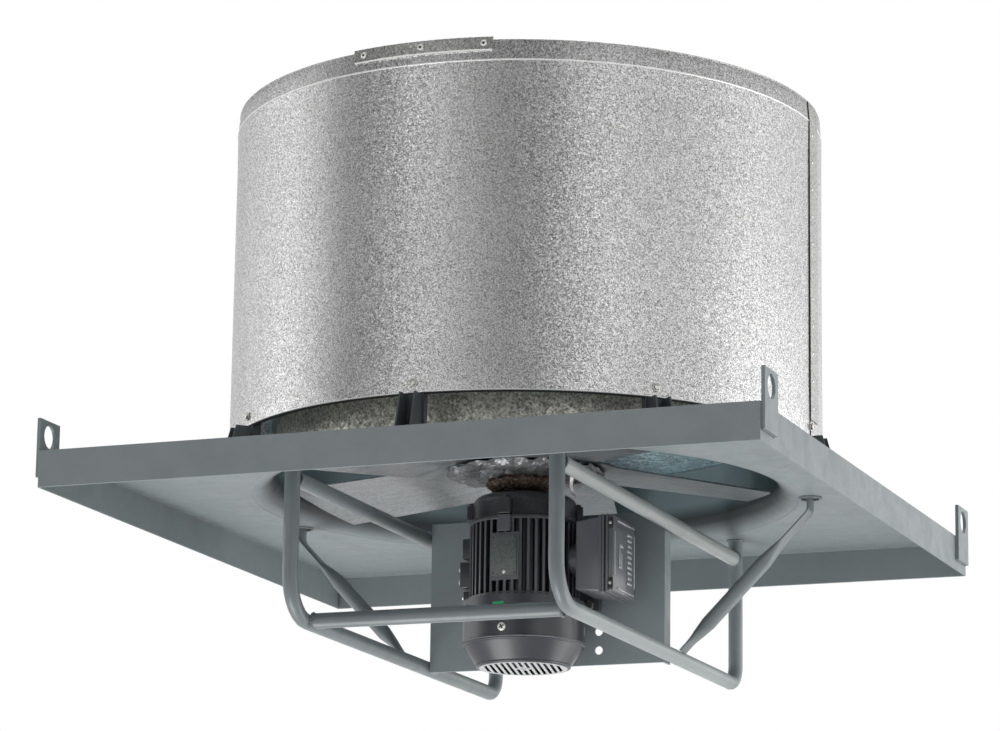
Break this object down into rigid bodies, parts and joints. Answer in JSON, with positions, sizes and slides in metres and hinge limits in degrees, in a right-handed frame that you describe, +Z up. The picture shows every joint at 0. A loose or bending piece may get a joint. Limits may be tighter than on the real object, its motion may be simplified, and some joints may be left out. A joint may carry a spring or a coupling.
{
  "type": "upblast exhaust fan",
  "caption": "Square-capped rooftop exhaust fan: flared inlet, direct-drive motor in a pipe frame below, propeller, butterfly damper and a round galvanised windband above.",
  "frame": {"origin": "on the propeller's axis, in the plane of the cap plate's underside, where the fan rests on its roof curb", "axes": "+Z up along the propeller's axis; +X along the front skirt to the right, towards the motor's terminal box; +Y from the front skirt to the back one"},
  "size_m": [1.0266, 1.016, 0.795],
  "materials": {
    "blue_grey_paint": "semi-gloss enamel over sheet steel and pipe",
    "galvanised_sheet": "galvanised, fine spangle",
    "mill_finish_sheet": "mill finish with rolling marks",
    "rusty_casting": "rough brown casting",
    "motor_paint": "dark grey semi-gloss enamel",
    "black_plastic": "moulded",
    "black_rubber": "matt",
    "winding": "laminations and windings, hidden",
    "plain_steel": "zinc-plated or plain steel"
  },
  "bodies": {
    "housing": {"band_bracket_1": "blue_grey_paint", "band_bracket_2": "blue_grey_paint", "band_bracket_3": "blue_grey_paint", "band_bracket_4": "blue_grey_paint", "band_bracket_5": "blue_grey_paint", "band_bracket_6": "blue_grey_paint", "band_bracket_7": "blue_grey_paint", "band_bracket_8": "blue_grey_paint", "band_screw_1": "plain_steel", "band_screw_2": "plain_steel", "band_screw_3": "plain_steel", "band_screw_4": "plain_steel", "band_screw_5": "plain_steel", "band_screw_6": "plain_steel", "band_screw_7": "plain_steel", "band_screw_8": "plain_steel", "brace_left": "blue_grey_paint", "brace_right": "blue_grey_paint", "curb_cap": "blue_grey_paint", "damper_hinge_rods": "plain_steel", "drive_end_bearing": "plain_steel", "drive_end_bell": "motor_paint", "fan_cover": "motor_paint", "fan_end_bearing": "plain_steel", "fan_end_bell": "motor_paint", "frame_cross_tube": "blue_grey_paint", "inlet_venturi": "galvanised_sheet", "lifting_lug_back_left": "blue_grey_paint", "lifting_lug_back_right": "blue_grey_paint", "lifting_lug_front_left": "blue_grey_paint", "lifting_lug_front_right": "blue_grey_paint", "motor_bolt_1": "plain_steel", "motor_bolt_2": "plain_steel", "motor_bolt_3": "plain_steel", "motor_bolt_4": "plain_steel", "motor_housing": "motor_paint", "motor_nameplate": "plain_steel", "motor_plate": "blue_grey_paint", "rim_splice_plate": "galvanised_sheet", "side_frame_left": "blue_grey_paint", "side_frame_right": "blue_grey_paint", "stator": "winding", "terminal_box": "motor_paint", "terminal_box_cover": "motor_paint", "terminal_box_gasket": "black_rubber", "upper_tube_left": "blue_grey_paint", "upper_tube_right": "blue_grey_paint", "windband": "galvanised_sheet", "windband_seam_strip": "galvanised_sheet"},
    "rotor": {"motor_shaft": "plain_steel", "rotor_core": "plain_steel", "cooling_fan": "black_plastic", "propeller_hub": "rusty_casting", "blade_1": "mill_finish_sheet", "blade_2": "mill_finish_sheet", "blade_3": "mill_finish_sheet", "blade_4": "mill_finish_sheet", "blade_5": "mill_finish_sheet"},
    "damper_back": {"damper_door_back": "galvanised_sheet"},
    "damper_front": {"damper_door_front": "galvanised_sheet"}
  },
  "joints": [
    {"name": "propeller_spin", "type": "hinge", "parent": "housing", "child": "rotor", "pos_m": [0, 0, 0], "axis": [0, 0, 1], "continuous": true},
    {"name": "damper_back_swing", "type": "hinge", "parent": "housing", "child": "damper_back", "pos_m": [0, 0.0115, 0.1095], "axis": [1, 0, 0], "range_deg": [0, 82]},
    {"name": "damper_front_swing", "type": "hinge", "parent": "housing", "child": "damper_front", "pos_m": [0, -0.0115, 0.1095], "axis": [-1, 0, 0], "range_deg": [0, 82]}
  ]
}
